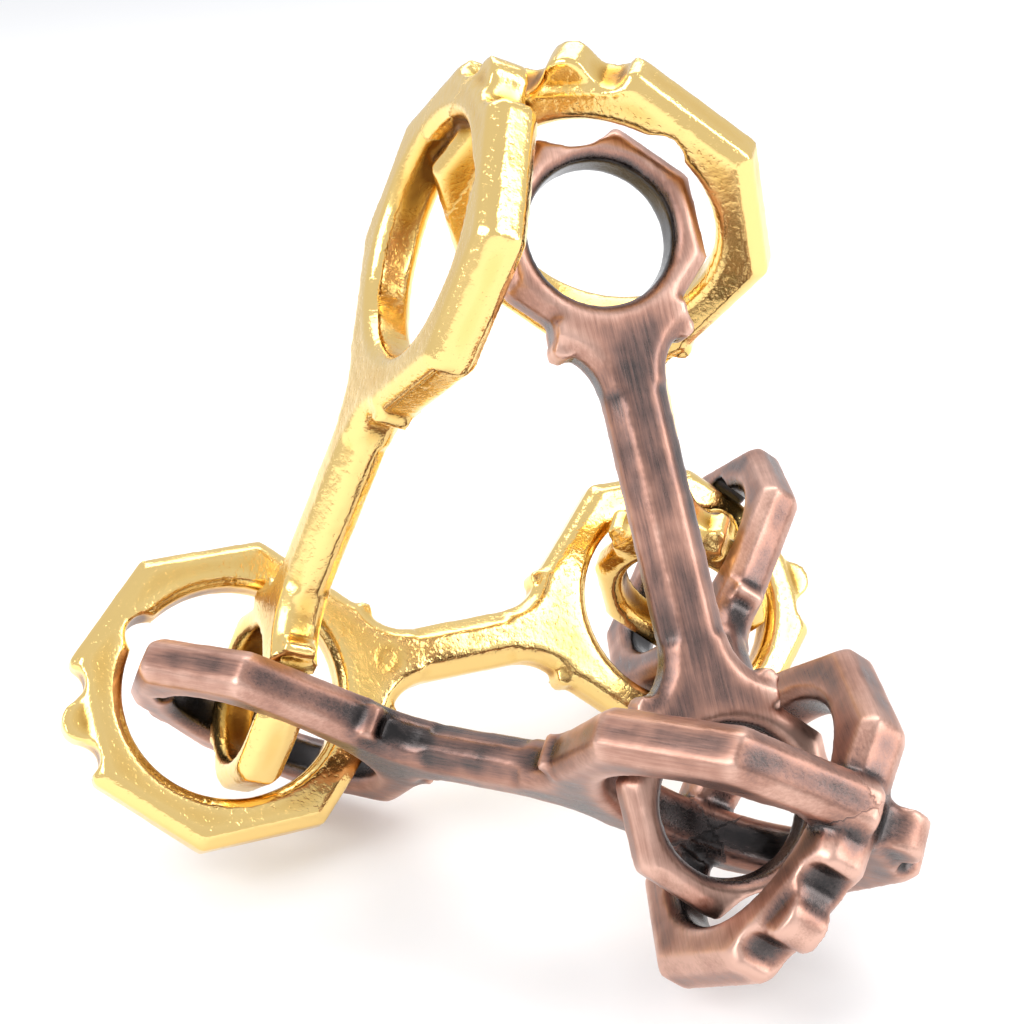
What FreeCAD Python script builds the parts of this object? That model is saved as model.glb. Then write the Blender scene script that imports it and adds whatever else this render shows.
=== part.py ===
import FreeCAD, Part
import os

# Cast metal ring puzzle: four castings hooked into a four-cornered cage.
# Each casting is made of flat arms, and each arm is two octagonal rings
# joined by a bar. At every corner of the cage two large rings meet edge to
# edge and one small ring, or one more bar, passes through both of them.
# Frame: +Z up, -Y toward the front, origin under the middle of the cage.

NODES = ("gold_v", "gold_bar", "copper_v", "copper_bar")

doc = FreeCAD.newDocument("ring_puzzle")
sheet = doc.addObject("Spreadsheet::Sheet", "dims")

# Sizes in mm and angles in degrees.
SIZES = (
    ("ring_width", 25.0, "large ring, across flats"),
    ("hole_width", 18.0, "large ring, hole diameter"),
    ("small_width", 15.4, "small ring, across flats"),
    ("small_hole", 10.8, "small ring, hole diameter"),
    ("ring_thick", 4.0, "thickness of rings and bars"),
    ("arm_span", 42.0, "ring centre to ring centre along an arm"),
    ("bar_width", 4.9, "bar, across its wide faces"),
    ("bar_bevel", 1.3, "bar, long corner bevels"),
    ("edge_bevel", 0.9, "ring, outside edge bevels"),
    ("hole_bevel", 0.7, "ring, hole edge bevels"),
    ("neck_reach", 4.0, "neck, length and side radius"),
    ("bump_radius", 0.85, "cast bump beside each neck"),
    ("knob_radius", 1.75, "knob on the end of a large ring"),
    ("groove_radius", 1.3, "grooves beside the knob"),
    ("groove_spacing", 3.2, "groove centre to ring centre line"),
    ("seat_radius", 1.7, "seat inside the large ring hole"),
    ("notch_radius", 3.9, "notch in the end of a small ring"),
    ("notch_depth", 1.2, "depth of the small ring notch"),
    ("dimple_radius", 0.9, "round mark on the long gold bar"),
    ("dimple_depth", 0.25, "depth of the round mark"),
)

# Where each arm's middle sits, in large ring widths, and how it is turned
# (heading about Z, dive about Y, roll about its own bar).
LAYOUT = {
    "gold_left": (-0.36, 0.07, 1.25, 174, 63, -20),
    "gold_right": (0.64, 0.49, 1.22, 67, 68, 178),
    "gold_back": (-0.06, 0.45, 0.44, 21, 4, 53),
    "copper_left": (0.01, -0.38, 0.46, -34, -4, 130),
    "copper_right": (0.82, 0.03, 0.44, -91, 0, 51),
    "copper_front": (0.59, -0.42, 1.24, -74, 62, 2),
}
LAYOUT_FIELDS = ("x", "y", "z", "heading", "dive", "roll")

OCTAGON_SIDES = 8
HALF_SIDE_ANGLE = 22.5
CORNER_ANGLE = 45.0
OVERRUN = 2.0


def put_value(row, name, value, note):
    sheet.set("A%d" % row, name)
    sheet.set("B%d" % row, str(value))
    sheet.set("C%d" % row, note)
    sheet.setAlias("B%d" % row, name)


row = 1
for name, value, note in SIZES:
    put_value(row, name, value, note)
    row += 1
for arm, values in LAYOUT.items():
    for field, value in zip(LAYOUT_FIELDS, values):
        put_value(row, arm + "_" + field, value, "layout")
        row += 1
for axis in "xyz":
    put_value(row, "seat_" + axis, 0, "shift that puts the origin under the cage")
    row += 1
doc.recompute()


def add(kind, name, **expressions):
    item = doc.addObject(kind, name)
    for prop, text in expressions.items():
        item.setExpression(prop, text)
    return item


def place(item, x="0", y="0", z="0"):
    item.setExpression("Placement.Base.x", x)
    item.setExpression("Placement.Base.y", y)
    item.setExpression("Placement.Base.z", z)
    return item


def bevel(base, name, size, wanted):
    """Bevel the edges of base that the wanted test picks."""
    doc.recompute()
    item = doc.addObject("Part::Chamfer", name)
    item.Base = base
    width = sheet.get(size)
    picked = [i + 1 for i, edge in enumerate(base.Shape.Edges) if wanted(edge)]
    item.Edges = [(i, width, width) for i in picked]
    return item


def flat_edge(edge):
    """True for an edge lying in a face plane, not one standing along Z."""
    return edge.BoundBox.ZLength < 1e-6


def long_edge(edge):
    """True for an edge running along the bar."""
    return edge.BoundBox.YLength < 1e-6 and edge.BoundBox.ZLength < 1e-6


def curved_flat_edge(edge):
    return flat_edge(edge) and isinstance(edge.Curve, Part.Circle)


def octagon(name, width, x):
    ring = add(
        "Part::Prism",
        name,
        Circumradius="%s / 2 / cos(%s deg)" % (width, HALF_SIDE_ANGLE),
        Height="dims.ring_thick",
    )
    ring.Polygon = OCTAGON_SIDES
    ring.Placement.Rotation = FreeCAD.Rotation(HALF_SIDE_ANGLE, 0, 0)
    place(ring, x, z="-dims.ring_thick / 2")
    return bevel(ring, name + "_bevel", "edge_bevel", flat_edge)


def post(name, radius, height, x, y):
    """An upright cylinder centred on the arm's mid plane."""
    item = add("Part::Cylinder", name, Radius=radius, Height=height)
    return place(item, x, y, "-(%s) / 2" % height)


def hole_tools(name, width, x):
    """The hole through a ring and the bevels at its two mouths."""
    through = "dims.ring_thick + %s" % OVERRUN
    tools = [post(name, "%s / 2" % width, through, x, "0")]
    for side, label in ((1, "top"), (-1, "bottom")):
        cone = add(
            "Part::Cone",
            name + "_" + label,
            Radius1="%s / 2" % width,
            Radius2="%s / 2 + 2 * dims.hole_bevel" % width,
            Height="2 * dims.hole_bevel",
        )
        if side < 0:
            cone.Placement.Rotation = FreeCAD.Rotation(0, 0, 180)
        lift = "%d * (dims.ring_thick / 2 - dims.hole_bevel)" % side
        tools.append(place(cone, x, "0", lift))
    return tools


def neck(name, side, width):
    """Concave transition between a ring and its bar."""
    flat = "(dims.arm_span / 2 - %s / 2)" % width
    root = "0.5 * (dims.ring_width - dims.hole_width) / 2"
    full = "(dims.bar_width + 1.3 * dims.neck_reach)"
    block = add(
        "Part::Box",
        name + "_block",
        Length="dims.neck_reach + " + root,
        Width=full,
        Height="dims.ring_thick",
    )
    if side < 0:
        start = "-%s - %s" % (flat, root)
    else:
        start = "%s - dims.neck_reach" % flat
    place(block, start, "-%s / 2" % full, "-dims.ring_thick / 2")
    scoops = []
    for hand, label in ((1, "left"), (-1, "right")):
        centre_x = "%d * (%s - dims.neck_reach)" % (side, flat)
        centre_y = "%d * (dims.bar_width / 2 + dims.neck_reach)" % hand
        through = "dims.ring_thick + %s" % OVERRUN
        scoop = post(name + "_scoop_" + label, "dims.neck_reach", through, centre_x, centre_y)
        scoops.append(scoop)
    cutter = doc.addObject("Part::MultiFuse", name + "_scoops")
    cutter.Shapes = scoops
    cut = doc.addObject("Part::Cut", name)
    cut.Base = block
    cut.Tool = cutter
    return bevel(cut, name + "_bevel", "edge_bevel", curved_flat_edge)


def build_arm(name, first, second, dimple=False):
    """One flat arm along X: two rings, a bar and the cast details."""
    solids = []
    tools = []
    inset = "0.35 * (dims.ring_width - dims.hole_width) / 2"
    widths = {"large": "dims.ring_width", "small": "dims.small_width"}
    holes = {"large": "dims.hole_width", "small": "dims.small_hole"}

    start = "(-dims.arm_span / 2 + %s / 2 - %s)" % (widths[first], inset)
    stop = "(dims.arm_span / 2 - %s / 2 + %s)" % (widths[second], inset)
    stock = add(
        "Part::Box",
        name + "_stock",
        Length="%s - %s" % (stop, start),
        Width="dims.bar_width",
        Height="dims.ring_thick",
    )
    place(stock, start, "-dims.bar_width / 2", "-dims.ring_thick / 2")
    solids.append(bevel(stock, name + "_bar", "bar_bevel", long_edge))

    for side, size in ((-1, first), (1, second)):
        part = name + ("_near" if side < 0 else "_far")
        width = widths[size]
        centre = "%d * dims.arm_span / 2" % side
        solids.append(octagon(part + "_ring", width, centre))
        tools += hole_tools(part + "_hole", holes[size], centre)
        solids.append(neck(part + "_neck", side, width))
        bump_x = "%d * (dims.arm_span / 2 - %s / 2 - 0.2 * dims.bump_radius)" % (side, width)
        for hand, label in ((1, "left"), (-1, "right")):
            bump_y = "%d * (dims.bar_width / 2 + 0.55 * dims.neck_reach)" % hand
            height = "0.7 * dims.ring_thick"
            bump = post(part + "_bump_" + label, "dims.bump_radius", height, bump_x, bump_y)
            solids.append(bump)

        end_x = "%d * (dims.arm_span / 2 + %s / 2)" % (side, width)
        through = "dims.ring_thick + %s" % OVERRUN
        if size == "large":
            height = "0.75 * dims.ring_thick"
            knob_x = "%s - %d * 0.1 * dims.knob_radius" % (end_x, side)
            solids.append(post(part + "_knob", "dims.knob_radius", height, knob_x, "0"))
            for hand, label in ((1, "left"), (-1, "right")):
                groove_x = "%s + %d * 0.3 * dims.groove_radius" % (end_x, side)
                groove_y = "%d * dims.groove_spacing" % hand
                groove = post(
                    part + "_groove_" + label, "dims.groove_radius", through, groove_x, groove_y
                )
                tools.append(groove)
            reach = "(dims.hole_width / 2 - 0.3 * dims.seat_radius)"
            seat_x = "%s + %d * %s * cos(%s deg)" % (centre, side, reach, CORNER_ANGLE)
            seat_y = "%s * sin(%s deg)" % (reach, CORNER_ANGLE)
            tools.append(post(part + "_seat", "dims.seat_radius", through, seat_x, seat_y))
        else:
            notch_x = "%s + %d * (dims.notch_radius - dims.notch_depth)" % (end_x, side)
            tools.append(post(part + "_notch", "dims.notch_radius", through, notch_x, "0"))

    if dimple:
        mark = add(
            "Part::Torus",
            name + "_dimple",
            Radius1="dims.dimple_radius",
            Radius2="dims.dimple_depth",
        )
        mark_x = "-dims.arm_span / 2 + dims.ring_width / 2 + 0.3 * dims.neck_reach"
        place(mark, mark_x, "0", "dims.ring_thick / 2")
        tools.append(mark)

    rough = doc.addObject("Part::MultiFuse", name + "_rough")
    rough.Shapes = solids
    cutter = doc.addObject("Part::MultiFuse", name + "_cutter")
    cutter.Shapes = tools
    arm = doc.addObject("Part::Cut", name)
    arm.Base = rough
    arm.Tool = cutter
    for axis in "xyz":
        text = "dims.%s_%s * dims.ring_width + dims.seat_%s" % (name, axis, axis)
        arm.setExpression("Placement.Base." + axis, text)
    turn = "create(<<rotation>>; dims.%s_heading; dims.%s_dive; dims.%s_roll)"
    arm.setExpression("Placement.Rotation", turn % (name, name, name))
    return arm


def join(name, arms):
    """Cast two arms as one piece."""
    item = doc.addObject("Part::MultiFuse", name)
    item.Shapes = arms
    item.Label = name
    return item


gold_left = build_arm("gold_left", "large", "small")
gold_right = build_arm("gold_right", "large", "small")
gold_back = build_arm("gold_back", "large", "large", dimple=True)
copper_left = build_arm("copper_left", "large", "large")
copper_right = build_arm("copper_right", "large", "large")
copper_front = build_arm("copper_front", "small", "small")

castings = {
    "gold_v": join("gold_v", [gold_left, gold_right]),
    "gold_bar": gold_back,
    "copper_v": join("copper_v", [copper_left, copper_right]),
    "copper_bar": copper_front,
}
for label, item in castings.items():
    item.Label = label
doc.recompute()

# Put the origin under the middle of the cage and the lowest corner on Z = 0.
box = FreeCAD.BoundBox()
for item in castings.values():
    box.add(item.Shape.BoundBox)
shift = {"x": -box.Center.x, "y": -box.Center.y, "z": -box.ZMin}
for axis, value in shift.items():
    sheet.set("seat_" + axis, "%.9f" % value)
doc.recompute()

os.makedirs("parts", exist_ok=True)
for item in doc.Objects:
    if "Invalid" in item.State or "Error" in item.State:
        raise RuntimeError("%s did not build: %s" % (item.Name, item.State))
for label in NODES:
    shape = castings[label].Shape
    if shape.isNull() or not shape.isValid():
        raise RuntimeError(label + " is not a valid shape")
    if len(shape.Solids) != 1:
        raise RuntimeError("%s is %d solids, not one" % (label, len(shape.Solids)))
    shape.exportStep("parts/%s.step" % label)
    print(label, round(shape.Volume, 1), "mm3")
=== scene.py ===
import bmesh
import bpy
import numpy as np
from mathutils import Matrix, Vector, noise


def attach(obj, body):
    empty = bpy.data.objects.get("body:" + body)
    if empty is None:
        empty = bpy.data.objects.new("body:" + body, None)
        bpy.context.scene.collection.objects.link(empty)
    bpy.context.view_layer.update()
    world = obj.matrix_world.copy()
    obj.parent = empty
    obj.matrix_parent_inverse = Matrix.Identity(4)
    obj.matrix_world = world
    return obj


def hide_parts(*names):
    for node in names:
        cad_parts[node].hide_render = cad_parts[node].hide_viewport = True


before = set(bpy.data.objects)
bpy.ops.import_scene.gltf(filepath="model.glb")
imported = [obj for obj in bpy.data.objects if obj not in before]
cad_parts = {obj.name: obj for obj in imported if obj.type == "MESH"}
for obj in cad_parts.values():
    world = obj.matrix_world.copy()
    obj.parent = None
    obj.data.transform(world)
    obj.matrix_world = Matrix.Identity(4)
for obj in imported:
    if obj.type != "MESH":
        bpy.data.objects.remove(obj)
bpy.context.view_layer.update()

MM = 0.001

# How the arms are read from the CAD: flat arms in each casting, the width of a
# ring's hole as a share of the ring, and what counts as parallel or as no face.
ARM_COUNT = {"gold_v": 2, "gold_bar": 1, "copper_v": 2, "copper_bar": 1}
HOLE_SHARE = 0.72
PARALLEL = 0.9995
LARGEST_FACES = 60
NO_AREA = 1e-12

# How a casting is softened, and the uneven surface that casting leaves.
WELD = 0.001 * MM
VOXEL = 0.27 * MM
ROUNDING_STEPS = 7
RELIEF_STEPS = 45
RELIEF_SCALE = 0.35 * MM
CAST_WAVE = 0.05 * MM
COARSE_WAVE = 330
FINE_WAVE = 900
SEED_OFFSET = Vector((3.1, 7.7, 1.9))


def find_arms(node):
    """Each arm's middle, directions and ring widths, read from the flat faces of its CAD node.

    The largest set of parallel faces is one arm's two flat sides. Its long way is the bar.
    doubled and left hold twice each face's area."""
    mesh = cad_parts[node].data
    mesh.calc_loop_triangles()
    points = np.array([tuple(vertex.co) for vertex in mesh.vertices])
    corners = points[np.array([tuple(triangle.vertices) for triangle in mesh.loop_triangles])]
    cross = np.cross(corners[:, 1] - corners[:, 0], corners[:, 2] - corners[:, 0])
    doubled = np.linalg.norm(cross, axis=1)
    corners, cross, doubled = (field[doubled > NO_AREA] for field in (corners, cross, doubled))
    normal = cross / doubled[:, None]
    left = doubled.copy()
    arms = []
    for _ in range(ARM_COUNT[node]):
        trial = np.argsort(-left)[:LARGEST_FACES]
        totals = [left[np.abs(normal @ normal[i]) > PARALLEL].sum() for i in trial]
        axis = normal[trial[int(np.argmax(totals))]]
        flat = (np.abs(normal @ axis) > PARALLEL) & (left > 0)
        level = corners[flat].mean(1) @ axis
        up = normal[flat] @ axis > 0
        height = (np.median(level[up]) + np.median(level[~up])) / 2
        spots = corners[flat].reshape(-1, 3)
        spread = spots - spots.mean(0)
        spread -= np.outer(spread @ axis, axis)
        weight = np.repeat(doubled[flat], 3)
        along = np.linalg.eigh((spread * weight[:, None]).T @ spread)[1][:, 2]
        across = np.cross(axis, along)
        turn = np.stack((along, across, axis), axis=1)
        local = spots @ turn
        low, high = local.min(0), local.max(0)
        middle = turn @ np.array(((low[0] + high[0]) / 2, (low[1] + high[1]) / 2, height))
        ends = []
        for side, edge in ((-1, low[0]), (1, high[0])):
            near = side * (edge - local[:, 0]) < (high[0] - low[0]) / 3
            width = np.ptp(local[near, 1])
            ends.append((edge - (low[0] + high[0]) / 2 - side * width / 2, width))
        arms.append((middle, turn, ends))
        left[flat] = 0
    return arms


def smooth_field(values, ends, degree, steps):
    """Average a per-vertex field with its neighbours, a number of times."""
    a, b = ends[:, 0], ends[:, 1]
    count = len(degree)
    for _ in range(steps):
        total = np.empty_like(values)
        for k in range(values.shape[1]):
            total[:, k] = np.bincount(a, values[b, k], count)
            total[:, k] += np.bincount(b, values[a, k], count)
        values = 0.4 * values + 0.6 * total / degree[:, None]
    return values


def arm_fields(node, points, normals):
    """Place and normal in the nearest arm's own frame, and how far a point faces its hole."""
    best = np.full(len(points), np.inf)
    place = np.zeros_like(points)
    facing = np.zeros_like(points)
    inner = np.zeros(len(points))
    for middle, turn, ends in find_arms(node):
        local = (points - middle) @ turn
        bent = normals @ turn
        inward = np.zeros(len(points))
        for centre, width in ends:
            hole = width * HOLE_SHARE
            offset = local[:, :2] - np.array((centre, 0))
            radius = np.hypot(offset[:, 0], offset[:, 1]) + 1e-9
            near = np.clip((width / 2 - radius) / (width / 2 - hole / 2) * 2 - 0.4, 0, 1)
            toward = -(offset * bent[:, :2]).sum(1) / radius
            inward = np.maximum(inward, near * np.clip(toward, 0, 1))
        reach = max(abs(centre) + width / 2 for centre, width in ends)
        breadth = max(width for _, width in ends)
        away = np.abs(local[:, 2]) + np.clip(np.abs(local[:, 0]) - reach, 0, None)
        away += np.clip(np.abs(local[:, 1]) - breadth / 2, 0, None)
        closer = away < best
        best[closer] = away[closer]
        place[closer] = local[closer]
        facing[closer] = bent[closer]
        inner[closer] = inward[closer]
    return place, facing, inner


def recast(node, body):
    """A softened casting made from the CAD node, with relief and arm data for its material."""
    piece = bpy.data.objects.new(node + "_cast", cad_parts[node].data.copy())
    bpy.context.scene.collection.objects.link(piece)
    weld = bmesh.new()
    weld.from_mesh(piece.data)
    bmesh.ops.remove_doubles(weld, verts=weld.verts, dist=WELD)
    weld.to_mesh(piece.data)
    weld.free()
    for name in list(piece.data.attributes.keys()):
        if name == "custom_normal":
            piece.data.attributes.remove(piece.data.attributes[name])
    remesh = piece.modifiers.new("remesh", "REMESH")
    remesh.mode = "VOXEL"
    remesh.voxel_size = VOXEL
    soften = piece.modifiers.new("soften", "SMOOTH")
    soften.factor = 0.5
    soften.iterations = ROUNDING_STEPS
    graph = bpy.context.evaluated_depsgraph_get()
    mesh = bpy.data.meshes.new_from_object(piece.evaluated_get(graph))
    piece.modifiers.clear()
    piece.data = mesh

    count = len(mesh.vertices)
    points = np.empty(count * 3)
    mesh.vertices.foreach_get("co", points)
    points = points.reshape(-1, 3)
    normals = np.empty(count * 3)
    mesh.vertices.foreach_get("normal", normals)
    normals = normals.reshape(-1, 3)
    ends = np.empty(len(mesh.edges) * 2, dtype=np.int64)
    mesh.edges.foreach_get("vertices", ends)
    ends = ends.reshape(-1, 2)
    degree = np.maximum(np.bincount(ends.ravel(), minlength=count), 1).astype(float)

    relaxed = smooth_field(points.copy(), ends, degree, RELIEF_STEPS)
    raised = ((points - relaxed) * normals).sum(1) / RELIEF_SCALE
    place, facing, inner = arm_fields(node, points, normals)

    wave = np.empty(count)
    for i, p in enumerate(points):
        coarse = noise.noise(Vector(p) * COARSE_WAVE + SEED_OFFSET)
        wave[i] = coarse + 0.5 * noise.noise(Vector(p) * FINE_WAVE)
    sink = np.clip(0.5 + 0.5 * wave, 0, 1) * CAST_WAVE
    points = points - normals * sink[:, None]
    mesh.vertices.foreach_set("co", points.ravel())

    for name, kind, data in (
        ("raised", "FLOAT", raised),
        ("inner", "FLOAT", inner),
        ("arm_place", "FLOAT_VECTOR", place),
        ("arm_facing", "FLOAT_VECTOR", facing),
    ):
        layer = mesh.attributes.new(name, kind, "POINT")
        field = "value" if kind == "FLOAT" else "vector"
        layer.data.foreach_set(field, np.ascontiguousarray(data).ravel())
    mesh.polygons.foreach_set("use_smooth", [True] * len(mesh.polygons))
    mesh.update()
    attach(piece, body)
    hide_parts(node)
    return piece


class Nodes:
    """Short helpers for building a shader."""

    def __init__(self, name):
        self.material = bpy.data.materials.new(name)
        self.material.use_nodes = True
        self.tree = self.material.node_tree
        self.shader = self.tree.nodes["Principled BSDF"]

    def add(self, kind, **settings):
        node = self.tree.nodes.new(kind)
        for key, value in settings.items():
            setattr(node, key, value)
        return node

    def link(self, source, target):
        self.tree.links.new(source, target)

    def attribute(self, name, output):
        return self.add("ShaderNodeAttribute", attribute_name=name).outputs[output]

    def math(self, operation, a, b=0.0, clamp=False):
        node = self.add("ShaderNodeMath", operation=operation, use_clamp=clamp)
        for socket, value in zip(node.inputs, (a, b)):
            if isinstance(value, (int, float)):
                socket.default_value = value
            else:
                self.link(value, socket)
        return node.outputs[0]

    def noise(self, scale, detail, stretch=(1, 1, 1), rough=0.55):
        mapping = self.add("ShaderNodeMapping")
        mapping.inputs["Scale"].default_value = stretch
        self.link(self.attribute("arm_place", "Vector"), mapping.inputs["Vector"])
        node = self.add("ShaderNodeTexNoise")
        self.link(mapping.outputs[0], node.inputs["Vector"])
        node.inputs["Scale"].default_value = scale
        node.inputs["Detail"].default_value = detail
        node.inputs["Roughness"].default_value = rough
        return node.outputs["Fac"]

    def ramp(self, value, stops):
        node = self.add("ShaderNodeValToRGB")
        self.link(value, node.inputs[0])
        ramp = node.color_ramp
        while len(ramp.elements) < len(stops):
            ramp.elements.new(0.5)
        for element, (place, colour) in zip(ramp.elements, stops):
            element.position = place
            element.color = (*colour, 1.0)
        return node.outputs[0]

    def spread(self, value, low, high, to_low, to_high):
        node = self.add("ShaderNodeMapRange")
        self.link(value, node.inputs["Value"])
        for name, number in (
            ("From Min", low),
            ("From Max", high),
            ("To Min", to_low),
            ("To Max", to_high),
        ):
            node.inputs[name].default_value = number
        return node.outputs[0]

    def bump(self, layers):
        normal = None
        for height, strength, depth in layers:
            node = self.add("ShaderNodeBump")
            node.inputs["Strength"].default_value = strength
            node.inputs["Distance"].default_value = depth
            self.link(height, node.inputs["Height"])
            if normal is not None:
                self.link(normal, node.inputs["Normal"])
            normal = node.outputs[0]
        self.link(normal, self.shader.inputs["Normal"])


def gold_material():
    """Bright gold plate: mirror-like ridges, orange peel and pits, with painted shade that darkens
    the colour to brown in the hollows and painted light that makes raised ridges paler.
    """
    n = Nodes("polished_gold_plate")
    raised = n.attribute("raised", "Fac")
    inner = n.attribute("inner", "Fac")
    peel = n.noise(1300, 3)
    grain = n.noise(2600, 2)
    broad = n.noise(110, 2)
    # Painted shade: this mask darkens the gold towards brown in hole walls and hollows and pales
    # it on raised ridges; the broad noise adds random tone.
    painted_hollow_shade = n.math("SUBTRACT", n.math("MULTIPLY", inner, 0.7), raised)
    tone_and_painted_shade = n.math("ADD", n.math("MULTIPLY", painted_hollow_shade, 0.80), n.math("MULTIPLY", broad, 0.7), True)
    # The two darkest stops are the painted shade of the hollows; the palest stop is the painted
    # light on the ridges.
    colour = n.ramp(
        tone_and_painted_shade,
        (
            (0.10, (0.93, 0.66, 0.25)),
            (0.42, (0.84, 0.54, 0.155)),
            (0.70, (0.50, 0.25, 0.035)),
            (1.0, (0.16, 0.065, 0.010)),
        ),
    )
    n.link(colour, n.shader.inputs["Base Color"])
    n.shader.inputs["Metallic"].default_value = 1.0
    rough = n.math("ADD", n.spread(broad, 0.35, 0.7, 0.15, 0.28), n.math("MULTIPLY", painted_hollow_shade, 0.10))
    n.link(n.math("MAXIMUM", rough, 0.07), n.shader.inputs["Roughness"])
    pits = n.spread(grain, 0.30, 0.42, 0.0, 1.0)
    n.bump(((peel, 0.60, 0.06 * MM), (pits, 0.30, 0.03 * MM)))
    return n.material


def copper_material():
    """Antique copper: rubbed pink ridges over a dark grey patina, brushed along each arm."""
    n = Nodes("brushed_antique_copper")
    raised = n.attribute("raised", "Fac")
    inner = n.attribute("inner", "Fac")
    facing = n.add("ShaderNodeSeparateXYZ")
    n.link(n.attribute("arm_facing", "Vector"), facing.inputs[0])
    flat = n.math("ABSOLUTE", facing.outputs["Z"])
    place = n.add("ShaderNodeSeparateXYZ")
    n.link(n.attribute("arm_place", "Vector"), place.inputs[0])
    along = n.math("ABSOLUTE", place.outputs["X"])
    ring = n.spread(along, 0.009, 0.015, 0.0, 0.20)
    broad = n.noise(95, 3)
    patch = n.noise(340, 4)
    brush = n.noise(1.0, 5, (260, 5200, 5200), 0.7)
    wear = n.math("MULTIPLY", raised, 0.62)
    wear = n.math("ADD", wear, n.math("MULTIPLY", flat, 0.10))
    wear = n.math("ADD", wear, ring)
    wear = n.math("SUBTRACT", wear, n.math("MULTIPLY", inner, 0.62))
    wear = n.math("ADD", wear, n.spread(broad, 0.3, 0.7, -0.18, 0.30))
    wear = n.math("ADD", wear, n.spread(patch, 0.3, 0.7, -0.10, 0.10))
    wear = n.math("ADD", wear, n.spread(brush, 0.3, 0.7, -0.10, 0.10))
    wear = n.math("ADD", wear, 0.12, True)
    colour = n.ramp(
        wear,
        (
            (0.0, (0.040, 0.037, 0.037)),
            (0.25, (0.10, 0.083, 0.080)),
            (0.46, (0.22, 0.135, 0.115)),
            (0.68, (0.42, 0.23, 0.175)),
            (1.0, (0.70, 0.44, 0.35)),
        ),
    )
    n.link(colour, n.shader.inputs["Base Color"])
    n.shader.inputs["Metallic"].default_value = 1.0
    n.shader.inputs["Anisotropic"].default_value = 0.35
    lines = n.spread(brush, 0.3, 0.7, -0.06, 0.06)
    rough = n.math("ADD", n.spread(wear, 0.0, 0.7, 0.20, 0.38), lines)
    n.link(rough, n.shader.inputs["Roughness"])
    n.bump(((brush, 0.35, 0.035 * MM), (patch, 0.30, 0.07 * MM)))
    return n.material


gold = gold_material()
copper = copper_material()
for node, slot, material in (
    ("gold_v", "gold", gold),
    ("gold_bar", "gold", gold),
    ("copper_v", "copper", copper),
    ("copper_bar", "copper", copper),
):
    piece = recast(node, node)
    piece.data.materials.clear()
    piece.data.materials.append(material)

# Studio: pale floor, soft boxes and a dim surround.
FLOOR_SIZE = 8.0
FLOOR_DROP = 0.2 * MM
floor_mesh = bpy.data.meshes.new("floor")
half = FLOOR_SIZE / 2
floor_mesh.from_pydata(
    [(-half, -half, 0), (half, -half, 0), (half, half, 0), (-half, half, 0)], [], [(0, 1, 2, 3)]
)
floor = bpy.data.objects.new("floor", floor_mesh)
bpy.context.scene.collection.objects.link(floor)
floor.location.z = -FLOOR_DROP
pale = Nodes("pale_floor")
pale.shader.inputs["Base Color"].default_value = (0.88, 0.88, 0.88, 1)
pale.shader.inputs["Roughness"].default_value = 0.9
pale.shader.inputs["Emission Color"].default_value = (1, 1, 1, 1)
pale.shader.inputs["Emission Strength"].default_value = 0.14
floor_mesh.materials.append(pale.material)

world = bpy.data.worlds.new("studio")
world.use_nodes = True
world.node_tree.nodes["Background"].inputs["Color"].default_value = (0.96, 0.97, 1.0, 1)
world.node_tree.nodes["Background"].inputs["Strength"].default_value = 0.86
bpy.context.scene.world = world

# The plain curve keeps the gold's saturation.
bpy.context.scene.view_settings.view_transform = "Standard"

# Middle of the object, which the lamps face.
TARGET = Vector((0.0, 0.0, 0.032))


def softbox(name, location, size, power):
    data = bpy.data.lights.new(name, "AREA")
    data.shape = "RECTANGLE"
    data.size, data.size_y = size
    data.energy = power
    lamp = bpy.data.objects.new(name, data)
    lamp.location = location
    lamp.rotation_euler = (TARGET - Vector(location)).to_track_quat("-Z", "Y").to_euler()
    bpy.context.scene.collection.objects.link(lamp)


softbox("key_left", (-0.42, -0.30, 0.42), (0.34, 0.45), 2.0)
softbox("key_right", (0.50, -0.22, 0.30), (0.22, 0.50), 1.4)
softbox("top_back", (0.05, 0.30, 0.55), (0.60, 0.30), 1.6)

# Camera at the viewing angle, a hand's breadth and a half in front.
camera_data = bpy.data.cameras.new("camera")
camera_data.sensor_width = 36.0
camera_data.lens = 59.8
camera_data.clip_start = 0.01
camera_data.clip_end = 20.0
camera = bpy.data.objects.new("camera", camera_data)
view_from = Vector((0.0055, -0.1247, 0.0802))
view_along = Vector((0.0, 0.9256, -0.3786))
upright = Vector((0.0932, 0.377, 0.9215))
right = view_along.cross(upright).normalized()
upright = right.cross(view_along).normalized()
axes = Matrix((right, upright, -view_along.normalized())).transposed()
camera.matrix_world = Matrix.Translation(view_from) @ axes.to_4x4()
bpy.context.scene.collection.objects.link(camera)
bpy.context.scene.camera = camera
